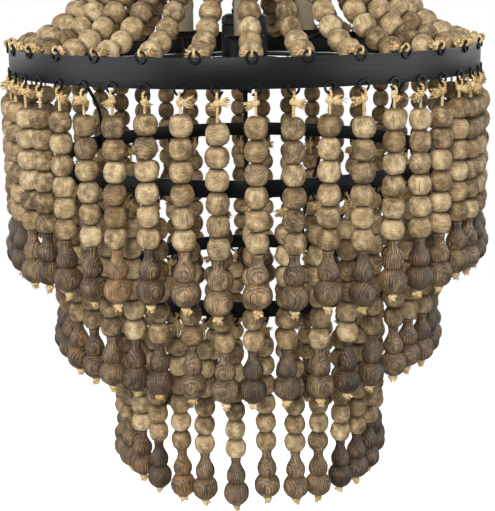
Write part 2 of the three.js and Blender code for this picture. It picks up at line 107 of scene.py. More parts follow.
# How eyes, loops and knots lie
eye_stand = 1.6 * MM  # from a bar's face out to the middle of its eyes
string_stand = 1.4 * MM  # from a bar's face out to its strings
pivot_drop = 6 * MM
loop_drop = 8.1 * MM
knot_drop = 14 * MM
end_knot_drop = 1.2 * MM
crown_tie = 22 * MM  # from the end of a swag's cord to the crown ring, along the swag


# ---------------------------------------------------------------- materials


def seen(red, green, blue):
    """The linear colour of a shade given as it looks, from 0 to 255."""
    return tuple(((v / 255 + 0.055) / 1.055) ** 2.4 if v > 10 else v / 255 / 12.92 for v in (red, green, blue))


class Wire:
    """A node's output; sums written with it become Math nodes."""

    def __init__(self, recipe, socket):
        self.recipe, self.socket = recipe, socket

    def __add__(self, other):
        return self.recipe.math("ADD", self, other)

    def __sub__(self, other):
        return self.recipe.math("SUBTRACT", self, other)

    def __rsub__(self, other):
        return self.recipe.math("SUBTRACT", other, self)

    def __mul__(self, other):
        return self.recipe.math("MULTIPLY", self, other)

    def __pow__(self, other):
        return self.recipe.math("POWER", self, other)

    __radd__ = __add__

    def size(self):
        return self.recipe.math("ABSOLUTE", self)

    def wave(self):
        """Swings from 0 to 1 and back over each turn."""
        return self.recipe.math("SINE", self) * 0.5 + 0.5


class Recipe:
    """The nodes of one material, or of the world."""

    def __init__(self, name, kind="materials"):
        self.owner = getattr(bpy.data, kind).new(name)
        self.owner.use_nodes = True
        self.tree = self.owner.node_tree
        self.tree.nodes.clear()

    def add(self, kind, settings=None, values=None, output=0):
        """Adds a node, gives it its settings and then its sockets' values or links."""
        node = self.tree.nodes.new(kind)
        for key, value in (settings or {}).items():
            if key == "stops":
                ramp = node.color_ramp.elements
                while len(ramp) < len(value):
                    ramp.new(0.5)
                for stop, (place, colour) in zip(ramp, value):
                    stop.position, stop.color = place, (*colour, 1)
            else:
                setattr(node, key, value)
        for key, value in (values or {}).items():
            socket = node.inputs[key]
            if isinstance(value, Wire):
                self.tree.links.new(value.socket, socket)
            elif socket.type == "RGBA":
                socket.default_value = (*value, 1)
            else:
                socket.default_value = value
        return Wire(self, node.outputs[output])

    def math(self, operation, *numbers):
        return self.add("ShaderNodeMath", {"operation": operation}, dict(enumerate(numbers)))

    def attribute(self, name):
        return self.add("ShaderNodeAttribute", {"attribute_name": name}, output="Vector")

    def object_place(self):
        return self.add("ShaderNodeTexCoord", output="Object")

    def parts(self, vector):
        first = self.add("ShaderNodeSeparateXYZ", values={0: vector})
        outputs = first.socket.node.outputs
        return [Wire(self, outputs[i]) for i in range(3)]

    def triple(self, x, y, z):
        return self.add("ShaderNodeCombineXYZ", values={0: x, 1: y, 2: z})

    def vector(self, operation, a, b):
        return self.add("ShaderNodeVectorMath", {"operation": operation}, {0: a, 1: b})

    def noise(self, place, scale, detail=2.0, stretch=(1, 1, 1)):
        spread = self.vector("MULTIPLY", place, tuple(scale * s for s in stretch))
        return self.add("ShaderNodeTexNoise", values={"Vector": spread, "Scale": 1.0, "Detail": detail})

    def step(self, value, low, high):
        """0 up to low, 1 from high on, and a smooth rise between them."""
        settings = {"interpolation_type": "SMOOTHSTEP"}
        return self.add("ShaderNodeMapRange", settings, {"Value": value, "From Min": low, "From Max": high})

    def ramp(self, value, *stops):
        return self.add("ShaderNodeValToRGB", {"stops": stops}, {0: value})

    def mix(self, share, a, b):
        return self.add("ShaderNodeMix", {"data_type": "RGBA"}, {0: share, 6: a, 7: b}, output=2)

    def bump(self, height, depth, strength=1.0):
        return self.add("ShaderNodeBump", values={"Height": height, "Distance": depth, "Strength": strength})

    def finish(self, **sockets):
        values = {key.replace("_", " "): value for key, value in sockets.items()}
        surface = self.add("ShaderNodeBsdfPrincipled", values=values)
        return self.shown(surface)

    def shown(self, surface, kind="ShaderNodeOutputMaterial"):
        """Links the surface to the output, and gives the material or world."""
        end = self.tree.nodes.new(kind)
        self.tree.links.new(surface.socket, end.inputs["Surface"])
        return self.owner


def grained(recipe):
    """A piece's own place in millimetres, the same shifted by its seed, and its tone, warmth and seed."""
    own = recipe.attribute("grain")
    tone, warmth, seed = recipe.parts(recipe.attribute("tint"))
    shifted = recipe.vector("ADD", own, recipe.triple(seed * 310, seed * 170, seed * 230))
    return own, shifted, tone, warmth, seed


def bead_wood_finish():
    wood = Recipe("weathered_bead_wood")
    own, shifted, tone, warmth, seed = grained(wood)
    x, y, z = wood.parts(own)
    blotch = wood.noise(shifted, 0.11, 3)
    lines = wood.noise(shifted, 1.0, 3, (0.12, 0.12, 0.9))
    wander = wood.noise(shifted, 0.16, 1) * 5
    pith_y, pith_z = y + (seed * 40 - 14), z + (warmth * 26 - 11)
    growth = (pith_y * pith_y + pith_z * pith_z) ** 0.5 + wander
    rings = (growth * 2.1).wave()
    level = tone * 0.4 + blotch * 1.1 - 0.38 + rings * 0.12 + lines * 0.3
    colour = wood.ramp(
        level,
        (0.14, seen(58, 46, 32)),
        (0.4, seen(122, 102, 74)),
        (0.64, seen(182, 157, 118)),
        (0.9, seen(236, 212, 168)),
    )
    colour = wood.mix(warmth * 0.26, colour, seen(160, 126, 78))
    reach = z.size()
    # Darker towards each bead's ends: partly a stain at the hole, partly painted shade where the beads touch.
    colour = wood.mix(wood.step(reach, 9, 12.2) * 0.7, colour, seen(60, 46, 32))
    split = 1 - wood.step((y + wander * 0.3).size(), 0.1, 0.55)
    split = split * wood.step(x, 5, 8) * (1 - wood.step(reach, 5.5, 8.5)) * wood.step(seed, 0.84, 0.86)
    colour = wood.mix(split * 0.8, colour, seen(52, 40, 30))
    relief = wood.bump(lines * 0.45 + rings * 0.3 + blotch * 0.5 - split * 2, 0.0003, 0.9)
    return wood.finish(Base_Color=colour, Roughness=0.86 - lines * 0.2, Specular_IOR_Level=0.2, Normal=relief)


def finial_wood_finish():
    wood = Recipe("dark_finial_wood")
    own, shifted, tone, warmth, seed = grained(wood)
    x, y, z = wood.parts(own)
    wander = wood.noise(shifted, 0.08, 2, (1, 1, 0.35)) * 6
    pith_x, pith_y = x + (seed * 44 - 22), y + (warmth * 20 + 22)
    growth = (pith_x * pith_x + pith_y * pith_y) ** 0.5 + wander + z * 0.05
    rings = (growth * (2.2 + seed * 1.1)).wave()
    fibres = wood.noise(shifted, 1.0, 3, (0.8, 0.8, 0.04))
    blotch = wood.noise(shifted, 0.08, 2)
    level = rings * 0.24 + fibres * 1.0 + blotch * 0.85 + tone * 0.36 - 0.84
    colour = wood.ramp(
        level,
        (0.12, seen(38, 28, 19)),
        (0.38, seen(87, 68, 46)),
        (0.62, seen(137, 113, 82)),
        (0.9, seen(196, 163, 116)),
    )
    colour = wood.mix((1 - wood.step(warmth, 0.15, 0.5)) * 0.2, colour, seen(98, 82, 62))
    colour = wood.mix(wood.step(warmth, 0.93, 0.96) * wood.step(level, 0.3, 0.9) * 0.55, colour, seen(176, 108, 54))
    relief = wood.bump(rings * 0.35 + fibres, 0.0006, 1.0)
    return wood.finish(Base_Color=colour, Roughness=0.7 - fibres * 0.2, Specular_IOR_Level=0.25, Normal=relief)


def jute_finish():
    jute = Recipe("jute")
    own, shifted, tone, *_ = grained(jute)
    x, y, z = jute.parts(own)
    ply = (jute.math("ARCTAN2", y, x) * 2 + z * 2.6).wave()
    hairs = jute.noise(shifted, 2.2, 2, (1, 1, 0.5))
    level = ply * 0.42 + hairs * 0.46 + tone * 0.34 - 0.1
    colour = jute.ramp(
        level,
        (0.1, seen(166, 124, 70)),
        (0.42, seen(226, 188, 124)),
        (0.78, seen(250, 226, 172)),
    )
    relief = jute.bump(ply + hairs * 0.5, 0.0005, 0.9)
    return jute.finish(Base_Color=colour, Roughness=0.92 - hairs * 0.1, Normal=relief)


def iron_finish():
    iron = Recipe("black_iron")
    place = iron.object_place()
    brushed = iron.noise(place, 1.0, 3, (9, 9, 520))
    cloud = iron.noise(place, 26, 3)
    level = brushed * 0.9 + cloud * 0.4 - 0.18
    colour = iron.ramp(
        level,
        (0.2, seen(9, 10, 11)),
        (0.5, seen(14, 17, 18)),
        (0.8, seen(31, 35, 36)),
    )
    relief = iron.bump(brushed + cloud, 0.00012, 0.5)
    return iron.finish(Base_Color=colour, Roughness=0.5 - brushed * 0.22, IOR=1.2, Normal=relief)


def sleeve_finish():
    wax = Recipe("ivory_sleeve")
    cloud = wax.noise(wax.object_place(), 60, 3)
    colour = wax.ramp(cloud, (0.3, seen(190, 174, 140)), (0.7, seen(212, 198, 166)))
    return wax.finish(Base_Color=colour, Roughness=0.5 + cloud * 0.2, Normal=wax.bump(cloud, 0.0003, 0.4))


def porcelain_finish():
    glaze = Recipe("porcelain")
    cloud = glaze.noise(glaze.object_place(), 110, 2)
    colour = glaze.ramp(cloud, (0.3, seen(214, 210, 200)), (0.7, seen(232, 229, 221)))
    return glaze.finish(Base_Color=colour, Roughness=0.16 + cloud * 0.16, Normal=glaze.bump(cloud, 0.0001, 0.3))


def glass_finish():
    glass = Recipe("bulb_glass")
    cloud = glass.noise(glass.object_place(), 40, 1)
    colour = glass.ramp(cloud, (0.3, seen(250, 246, 236)), (0.7, seen(255, 252, 245)))
    values = {"Base Color": colour, "Roughness": 0.03, "IOR": 1.45, "Transmission Weight": 1.0}
    pane = glass.add("ShaderNodeBsdfPrincipled", values=values)
    clear = glass.add("ShaderNodeBsdfTransparent")
    rim = glass.add("ShaderNodeLayerWeight", values={"Blend": 0.35}, output="Facing")
    return glass.shown(glass.add("ShaderNodeMixShader", values={0: rim * 0.8 + 0.2, 1: clear, 2: pane}))


def brass_finish():
    brass = Recipe("bulb_cap_brass")
    cloud = brass.noise(brass.object_place(), 90, 2)
    colour = brass.ramp(cloud, (0.3, seen(158, 124, 66)), (0.7, seen(196, 160, 92)))
    return brass.finish(Base_Color=colour, Roughness=0.24 + cloud * 0.2, Metallic=1.0)


bead_wood = bead_wood_finish()
finial_wood = finial_wood_finish()
jute = jute_finish()
black_iron = iron_finish()
ivory = sleeve_finish()
glazed = porcelain_finish()
clear_glass = glass_finish()
cap_brass = brass_finish()


# ---------------------------------------------------------------- making pieces


def bearing(azimuth):
    """The unit vectors of an azimuth: out from the axis, and along the ring."""
    turn = math.radians(azimuth)
    return Vector((math.sin(turn), -math.cos(turn), 0)), Vector((math.cos(turn), math.sin(turn), 0))


def at(azimuth, radius, height):
    return bearing(azimuth)[0] * radius + Vector((0, 0, height))


def moved(x=0, y=0, z=0):
    return Matrix.Translation((x, y, z))


def rotated(degrees, axis="Z"):
    return Matrix.Rotation(math.radians(degrees), 4, axis)


def taller(share):
    return Matrix.Scale(share, 4, (0, 0, 1))


def standing(azimuth, radius, height):
    """A place on a ring, turned to face out."""
    return Matrix.Translation(at(azimuth, radius, height)) @ rotated(azimuth)


def face_of(radius, count):
    """The distance out to a ring's flat faces, when the ring has this many sides."""
    return radius * math.cos(math.pi / count)


def unselect():
    if bpy.context.object and bpy.context.object.mode != "OBJECT":
        bpy.ops.object.mode_set(mode="OBJECT")
    bpy.ops.object.select_all(action="DESELECT")


def only(piece):
    unselect()
    piece.select_set(True)
    bpy.context.view_layer.objects.active = piece


def settled(name, material, angle=50):
    """Closes the shape just made: welded, faced outwards, smoothed, its place in its mesh."""
    piece = bpy.context.object
    bpy.ops.object.mode_set(mode="EDIT")
    bpy.ops.mesh.select_all(action="SELECT")
    bpy.ops.mesh.remove_doubles(threshold=0.01 * MM)
    bpy.ops.mesh.normals_make_consistent(inside=False)
    bpy.ops.object.mode_set(mode="OBJECT")
    only(piece)
    bpy.ops.object.transform_apply(location=True, rotation=True, scale=True)
    bpy.ops.object.shade_smooth_by_angle(angle=math.radians(angle))
    piece.name = piece.data.name = name
    piece.data.materials.clear()
    piece.data.materials.append(material)
    return piece


def drawn(name, material, sides, stations, angle=50, hollow=False):
    """A closed skin over level round sections, each with its centre and its radius.

    The sections of a hollow piece run up one wall and down the other, and end on the first.
    """
    (start, size), *rest = [(Vector(place), radius) for place, radius in stations]
    unselect()
    ends = "NOTHING" if hollow else "NGON"
    bpy.ops.mesh.primitive_circle_add(vertices=sides, radius=size, fill_type=ends, location=start)
    bpy.ops.object.mode_set(mode="EDIT")
    bpy.ops.mesh.select_all(action="SELECT")
    for place, radius in rest:
        bpy.ops.mesh.extrude_region_move(TRANSFORM_OT_translate={"value": place - start})
        bpy.ops.transform.resize(value=(radius / size,) * 3, center_override=place)
        start, size = place, radius
    return settled(name, material, angle)


def turned(name, material, sides, profile, angle=50, hollow=False, foot=(0, 0, 0)):
    """A piece turned upright, from a profile of (radius, height above its foot) in millimetres."""
    stations = [(Vector(foot) + Vector((0, 0, z * MM)), r * MM) for r, z in profile]
    if hollow:
        stations.append(stations[0])
    return drawn(name, material, sides, stations, angle, hollow)


def wire_ring(name, material, diameter, wire, segments, sides, gap=0):
    """A ring of round wire that stands across the Y axis, with the given count of segments left open."""
    unselect()
    bpy.ops.mesh.primitive_torus_add(
        major_segments=segments,
        minor_segments=sides,
        major_radius=(diameter - wire) / 2,
        minor_radius=wire / 2,
        rotation=(math.pi / 2, 0, 0),
    )
    piece = bpy.context.object
    bpy.ops.object.transform_apply(location=True, rotation=True, scale=True)
    if gap:
        limit = math.pi * gap / segments
        bpy.ops.object.mode_set(mode="EDIT")
        bpy.ops.mesh.select_all(action="DESELECT")
        bpy.ops.object.mode_set(mode="OBJECT")
        for face in piece.data.polygons:
            face.select = abs(math.atan2(face.center.x, face.center.z)) < limit
        bpy.ops.object.mode_set(mode="EDIT")
        bpy.ops.mesh.delete(type="FACE")
        bpy.ops.mesh.select_all(action="SELECT")
        bpy.ops.mesh.fill_holes(sides=0)
    return settled(name, material)


def tube(name, material, points, radius, handles=None, resolution=6, bevel=3):
    """A round bar along points, made as a bevelled curve."""
    unselect()
    bpy.ops.curve.primitive_bezier_curve_add()
    piece = bpy.context.object
    curve = piece.data
    curve.splines.clear()
    kind = "BEZIER" if handles else "POLY"
    spline = curve.splines.new(kind)
    if handles:
        spline.bezier_points.add(len(points) - 1)
        for point, place, (left, right) in zip(spline.bezier_points, points, handles):
            point.handle_left_type = point.handle_right_type = "FREE"
            point.co, point.handle_left, point.handle_right = place, left, right
    else:
        spline.points.add(len(points) - 1)
        for point, place in zip(spline.points, points):
            point.co = (*place, 1)
    curve.dimensions, curve.resolution_u, curve.bevel_resolution = "3D", resolution, bevel
    curve.bevel_depth, curve.use_fill_caps = radius, True
    bpy.ops.object.convert(target="MESH")
    return settled(name, material)


def grain(piece):
    """Keeps each point's place on the piece, in millimetres, for its pattern to follow."""
    own = piece.data.attributes.new("grain", "FLOAT_VECTOR", "POINT")
    own.data.foreach_set("vector", [v / MM for point in piece.data.vertices for v in point.co])
    return piece


def joined(name, pieces):
    """One mesh of several pieces, with their grain and tint kept."""
    whole = pieces[0]
    only(whole)
    for piece in pieces:
        piece.select_set(True)
    if len(pieces) > 1:
        bpy.ops.object.join()
    whole.name = whole.data.name = name
    return whole


def tint():
    """A tone, a warmth and a seed for one copy."""
    return (chance.random(), chance.random(), chance.random())


def copied(original, place):
    """One copy with its own mesh, at its place. It gets a tint, unless its parts have theirs."""
    piece = original.copy()
    piece.data = original.data.copy()
    piece.data.transform(place)
    if "tint" not in piece.data.attributes:
        mark = piece.data.attributes.new("tint", "FLOAT_VECTOR", "POINT")
        mark.data.foreach_set("vector", tint() * len(piece.data.vertices))
    bpy.context.scene.collection.objects.link(piece)
    return piece


def placed(piece, body, node):
    """Makes a piece part of the object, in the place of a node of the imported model."""
    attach(piece, body)
    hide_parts(node)


def gathered(name, pieces, body, node):
    placed(joined(name, pieces), body, node)


def tilted(amount):
    """A small random turn, up to the given degrees about each level axis."""
    return rotated(chance.uniform(-amount, amount), "X") @ rotated(chance.uniform(-amount, amount), "Y")


def spun(axis="Z"):
    return Matrix.Rotation(chance.uniform(0, math.tau), 4, axis)


def sized(amount):
    """A small random change of size."""
    return Matrix.Scale(1 + chance.uniform(-amount, amount), 4)


def squat(amount):
    """A small random change of width, and the opposite change of height."""
    wide = 1 + chance.uniform(-amount, amount)
    return Matrix.Diagonal((wide, wide, 2 - wide, 1))


# ---------------------------------------------------------------- what repeats

bead_profile = [(5.6, -12.3), (9.4, -10.3), (12.2, -5.9), (13.3, 0), (12.2, 5.9), (9.4, 10.3), (5.6, 12.3)]
bead = grain(turned("bead", bead_wood, 12, bead_profile, angle=60))
round_bead_profile = [(5.4, -12.2), (9.4, -9.9), (12.3, -5.4), (13.4, 0), (12.3, 5.4), (9.4, 9.9), (5.4, 12.2)]
round_bead = grain(turned("round_bead", bead_wood, 12, round_bead_profile, angle=60))
finial_profile = [
    (5.9, 0),
    (6.8, -0.9),
    (6.5, -2.6),
    (5.9, -5.6),
    (6.3, -9.2),
    (8.2, -13.8),
    (10.7, -18.2),
    (12.1, -22.2),
    (12.3, -25.2),
    (11.9, -28.9),
    (10.1, -32.5),
    (8.3, -33.7),
    (10.3, -34.7),
    (13.4, -38.2),
    (15.7, -42.8),
    (16.3, -47.4),
    (15.7, -52.2),
    (13.4, -56.8),
    (9.4, -60.6),
    (4.9, -63),
]
finial = grain(turned("finial", finial_wood, 14, finial_profile, angle=60))
eye = wire_ring("eye", black_iron, 14.8 * MM, 3 * MM, segments=20, sides=6, gap=1)
loop = grain(wire_ring("loop", jute, 10.4 * MM, 2.8 * MM, segments=12, sides=6))


def fibre(length, bend, thickness):
    """One frayed strand, thinning to its tip."""
    stations = [
        ((0, 0, 0), thickness),
        ((bend * 0.25, 0, length * 0.5), thickness * 0.8),
        ((bend, 0, length), thickness * 0.3),
    ]
    return grain(drawn("fibre", jute, 3, stations, angle=180))


strand = fibre(5.5 * MM, 1.4 * MM, 0.75 * MM)
short_strand = fibre(3.6 * MM, 0.9 * MM, 0.8 * MM)
rope_stub = grain(turned("rope_stub", jute, 8, [(1.9, 0), (2.3, 0.2), (2.7, 0.4), (3.3, 0.62), (3.9, 0.84), (3, 1)]))


def tail(name, count, length, centre, spread):
    """A cord's end that leaves its knot at a turn from straight up, widens and frays like a brush.

    Its strands start along its side, and near its end all over it.
    """
    end_share = 0.85
    parts = [copied(rope_stub, taller(length))]
    for _ in range(count):
        share = chance.uniform(0.3, 1)
        out = chance.uniform(0, 1) ** 0.5 if share > end_share else 1
        reach = (1.5 + 2.3 * share) * out * MM
        flare = math.radians(chance.gauss(12, spread)) * out
        place = moved(x=reach, z=length * share * MM) @ Matrix.Rotation(flare, 4, "Y")
        parts.append(copied(chance.choice((strand, short_strand)), spun() @ place @ spun() @ sized(0.25)))
    whole = joined(name, parts)
    whole.data.transform(rotated(centre, "Y"))
    return whole


def knot_body():
    turn = grain(wire_ring("knot_turn", jute, 9.4 * MM, 4 * MM, segments=10, sides=6))
    cross = grain(wire_ring("knot_cross", jute, 9 * MM, 3.8 * MM, segments=10, sides=6))
    turn.data.transform(rotated(62, "X"))
    cross.data.transform(rotated(70) @ rotated(108, "X"))
    core = grain(turned("knot_core", jute, 8, [(1.6, -3.8), (3.6, -2), (4, 0), (3.6, 2), (1.6, 3.8)]))
    return joined("knot", [turn, cross, core])


knot = knot_body()
rope_end = grain(turned("rope_end", jute, 6, [(1.5, 0), (1.7, -2), (1.6, -5), (1.9, -7.5), (1.3, -8.2)]))
tails = [
    tail("tail_left", 40, 8, -100, 7),
    tail("tail_right", 40, 8, 98, 7),
    tail("tail_short_left", 34, 5.5, -84, 8),
    tail("tail_short_right", 34, 6, 106, 8),
    tail("tail_low_left", 34, 6.5, -122, 8),
    tail("tail_low_right", 30, 5, 128, 9),
]
end_fray = tail("end_fray", 14, 2, 176, 16)

cord_ends = [((0, 0, height), cord_radius) for height in (-12 * MM, -string_end + 3 * MM)]
hanging_cord = grain(drawn("hanging_cord", jute, 6, cord_ends))


def new_eye(place):
    """An eye ring whose open end lies anywhere around it."""
    return copied(eye, place @ spun("Y"))


def hung(azimuth, radius, bottom, fixed):
    """The copies that one hanging string is made of: its wood, its turned end and its jute.

    Fixed strings hang a little askew and differ in length. Those that swing hang straight and differ less.
    """
    slack_spread, shortest, longest, slip_spread = 2.6 if fixed else 0.8, -5, 6, 0.35
    sway = rotated(chance.uniform(-1, 1), "Y") if fixed else Matrix.Identity(4)
    slack = max(shortest, min(longest, chance.gauss(0, slack_spread))) * MM
    line = standing(azimuth, radius, bottom) @ moved(z=-pivot_drop) @ sway @ moved(z=pivot_drop)
    down = lambda drop: line @ moved(z=-drop)
    wood, ends, jutes = [], [], []
    for i in range(beads_per_string):
        middle = first_bead_drop + slack + (i + 0.5) * bead_pitch
        slip = moved(chance.gauss(0, slip_spread) * MM, chance.gauss(0, slip_spread) * MM)
        wood.append(copied(bead, down(middle) @ slip @ tilted(5) @ squat(0.035) @ spun()))
    ends.append(copied(finial, down(finial_drop + slack) @ squat(0.035) @ spun()))
    jutes.append(copied(hanging_cord, line))
    jutes.append(copied(loop, down(loop_drop) @ rotated(90) @ taller(1.25)))
    jutes.append(copied(knot, down(knot_drop) @ tilted(18) @ sized(0.12)))
    for i in chance.choice([(0,), (1,), (0,), (1,), (4,), (5,), (2, 3), (0, 3), (4, 1)]):
        lean = rotated(chance.uniform(-38, 38))
        jutes.append(copied(tails[i], down(knot_drop) @ lean @ tilted(14) @ Matrix.Scale(chance.uniform(1, 1.4), 4)))
    foot = down(string_end + slack + end_knot_drop)
    flat_knot = taller(0.8) @ Matrix.Scale(chance.uniform(1.1, 1.35), 4)
    jutes.append(copied(knot, foot @ moved(z=-1 * MM) @ tilted(20) @ flat_knot))
    for lean in ((-52, 60), (15,), (-60, 8), (48, -20))[chance.randrange(4)]:
        jutes.append(copied(rope_end, foot @ spun() @ rotated(lean, "Y")))
    jutes.append(copied(end_fray, foot @ moved(z=-3 * MM) @ spun()))
    return wood, ends, jutes


def softened(bar, width):
    """Bevels a bar's edges."""
    edge = bar.modifiers.new("edge", "BEVEL")
    edge.width, edge.segments, edge.angle_limit = width, 2, math.radians(40)
    bpy.ops.object.modifier_apply(modifier="edge")


def hoop(name, radius, height, top, sides=144):
    """A ring of flat bar on edge, with softened edges."""
    unselect()
    bpy.ops.mesh.primitive_circle_add(vertices=sides, radius=radius, location=(0, 0, top))
    piece = bpy.context.object
    bpy.ops.object.mode_set(mode="EDIT")
    bpy.ops.mesh.select_all(action="SELECT")
    bpy.ops.mesh.extrude_region_move(TRANSFORM_OT_translate={"value": (0, 0, -height)})
    bpy.ops.mesh.select_all(action="SELECT")
    bpy.ops.mesh.normals_make_consistent(inside=False)
    bpy.ops.object.mode_set(mode="OBJECT")
    outward = sum(face.normal.dot(face.center * Vector((1, 1, 0))) for face in piece.data.polygons)
    wall = piece.modifiers.new("wall", "SOLIDIFY")
    wall.thickness, wall.offset = bar_thickness, -1 if outward > 0 else 1
    bpy.ops.object.modifier_apply(modifier="wall")
    softened(piece, 0.5 * MM)
    return settled(name, black_iron, angle=35)


# ---------------------------------------------------------------- tiers


def tier(name, radius, height, top, count, phase, swingers):
    """A ring, its eyes and its strings. Every string hangs the same way; three are pieces that swing."""
    bottom = top - height
    node = f"{name}_ring"
    face = face_of(radius, count)
    placed(hoop(f"{name}_hoop", radius, height, top), "frame", node)
    eyes, wood, ends, jutes = [], [], [], []
    for i in range(count):
        azimuth = phase + 360 * i / count
        eyes.append(new_eye(standing(azimuth, face + eye_stand, bottom)))
        parts = hung(azimuth, face + string_stand, bottom, fixed=i not in swingers)
        if i in swingers:
            string = f"{name}_string_{swingers.index(i) + 1}"
            for kind, copies in zip(("beads", "finial", "jute"), parts):
                gathered(f"{string}_{kind}", copies, string, string)
        else:
            for store, copies in zip((wood, ends, jutes), parts):
                store.extend(copies)
    gathered(f"{name}_eyes", eyes, "frame", node)
    gathered(f"{name}_beads", wood, "frame", node)
    gathered(f"{name}_finials", ends, "frame", node)
    gathered(f"{name}_jute", jutes, "frame", node)


tier("outer", outer_radius, outer_bar, outer_top, outer_count, phase=2, swingers=(0, 16, 32))
tier("middle", middle_radius, inner_bar, middle_top, middle_count, phase=1.7, swingers=(4, 18, 32))
tier("lower", lower_radius, inner_bar, lower_top, lower_count, phase=6, swingers=(6, 16, 26))


# ---------------------------------------------------------------- swags and crown

swag_rise = crown_height - outer_top - swag_foot_rise
swag_foot_radius = face_of(outer_radius - bar_thickness, outer_count) - seat_gap
swag_span = swag_foot_radius - crown_radius


def catenary(span, rise):
    """The own length of the catenary that starts level and gains this rise over this span."""
    own = span**2 / (2 * rise)
    for _ in range(20):
        turn = span / own
        gain = math.cosh(turn) - 1
        own -= (own * gain - rise) / (gain - turn * math.sinh(turn))
    return own


swag_curve = catenary(swag_span, swag_rise)
swag_length = swag_curve * math.sinh(swag_span / swag_curve)


def swag_place(length):
    """The place on the front's swag at a length from its foot, with Z up along the swag."""
    out, along = bearing(0)
    slope = math.hypot(swag_curve, length)
    radius = swag_foot_radius - swag_curve * math.asinh(length / swag_curve)
    point = at(0, radius, outer_top + swag_foot_rise + slope - swag_curve)
    ahead = (-out * swag_curve / slope + Vector((0, 0, 1)) * length / slope).normalized()
    side = ahead.cross(along).normalized()
    turn = Matrix((along, side, ahead)).transposed().to_4x4()
    turn.translation = point
    return turn


def swags():
    """The tent of bead swags, with their eyes on the outer ring and on the crown."""
    eyes, wood, jutes = [], [], []
    count = int((swag_length - swag_foot_cord - swag_end_cord - seat_gap) / bead_pitch)
    tie = swag_length - crown_tie
    steps = 16
    path = [swag_place(tie * k / steps).translation for k in range(steps + 1)]
    line = grain(tube("swag_cord", jute, path, cord_radius, bevel=1))
    face = face_of(outer_radius, outer_count)
    crown_lean = rotated(-16, "X")
    for i in range(swag_count):
        azimuth = swag_phase + 360 * i / swag_count
        turn = rotated(azimuth)
        eyes.append(new_eye(standing(azimuth, face + eye_stand, outer_top)))
        for k in range(count):
            middle = turn @ swag_place(swag_foot_cord + (k + 0.5) * bead_pitch)
            wood.append(copied(round_bead, middle @ spun() @ tilted(3) @ sized(0.025)))
        jutes.append(copied(line, turn))
        jutes.append(copied(loop, standing(azimuth, face + 1 * MM, outer_top + 5 * MM) @ rotated(90)))
        inner = turn @ swag_place(5 * MM)
        jutes.append(copied(knot, inner @ tilted(20) @ Matrix.Scale(0.85, 4)))
        crown_eye = standing(azimuth, crown_radius + eye_stand, crown_height - crown_bar / 2)
        eyes.append(new_eye(crown_eye))
        jutes.append(copied(loop, crown_eye @ crown_lean @ moved(z=-loop_drop) @ rotated(90) @ taller(1.25)))
        jutes.append(copied(knot, turn @ swag_place(tie) @ tilted(20) @ Matrix.Scale(0.85, 4)))
        for k in chance.choice([(0,), (1,), (2,), (3,), (2, 1), (0, 3)]):
            raised = Matrix.Translation(inner.translation + Vector((0, 0, 1.5 * MM))) @ turn
            lean = rotated(22 if k % 2 == 0 else -22, "Y")
            jutes.append(copied(tails[k], raised @ lean @ tilted(8) @ Matrix.Scale(chance.uniform(1, 1.25), 4)))
    bpy.data.objects.remove(line)
    gathered("swag_eyes", eyes, "frame", "crown_ring")
    gathered("swag_beads", wood, "frame", "crown_ring")
    gathered("swag_jute", jutes, "frame", "crown_ring")


swags()
crown_hoop = hoop("crown_hoop", crown_radius, crown_bar, crown_height + crown_bar / 2, sides=96)
placed(crown_hoop, "frame", "crown_ring")


# ---------------------------------------------------------------- rods


def ring_rod(name, azimuth, upper, lower):
    """A bent rod from the inside of one ring to the inside of the next. A ring is its face and its top."""
    rod_radius = 2.5 * MM
    reach = rod_radius + seat_gap
    (high_face, high_top), (low_face, low_top) = upper, lower
    high, low = high_face - bar_thickness - reach, low_face - bar_thickness - reach
    start, landing, end = high_top - 3 * MM, low_top + 14 * MM, low_top - 14 * MM
    bend, straight = Vector((0, 0, 55 * MM)), Vector((0, 0, 5 * MM))
    first, middle, last = at(azimuth, high, start), at(azimuth, low, landing), at(azimuth, low, end)
    handles = [(first + bend, first - bend), (middle + bend, middle - straight), (last + straight, last - straight)]
    bar = tube(f"{name}_bar", black_iron, [first, middle, last], rod_radius, handles, resolution=16)
    placed(bar, "frame", name)


outer_face = (face_of(outer_radius, outer_count), outer_top)
middle_face = (face_of(middle_radius, middle_count), middle_top)
lower_face = (face_of(lower_radius, lower_count), lower_top)
for i in range(3):
    ring_rod(f"upper_rod_{i + 1}", 120 * i, outer_face, middle_face)
    ring_rod(f"lower_rod_{i + 1}", 30 + 120 * i, middle_face, lower_face)


# ---------------------------------------------------------------- column, hub and crown spider


def flat_bar(name, azimuth, inner, outer, middle_height, width, height):
    """A flat bar that lies level along an azimuth, with softened edges."""
    unselect()
    bpy.ops.mesh.primitive_cube_add(size=1)
    piece = bpy.context.object
    bpy.ops.object.mode_set(mode="EDIT")
    bpy.ops.mesh.select_all(action="SELECT")
    bpy.ops.transform.resize(value=(width, outer - inner, height))
    bpy.ops.mesh.subdivide(number_cuts=1)
    bpy.ops.object.mode_set(mode="OBJECT")
    softened(piece, 0.6 * MM)
    piece.data.transform(standing(azimuth, (inner + outer) / 2, middle_height))
    return settled(name, black_iron, angle=35)


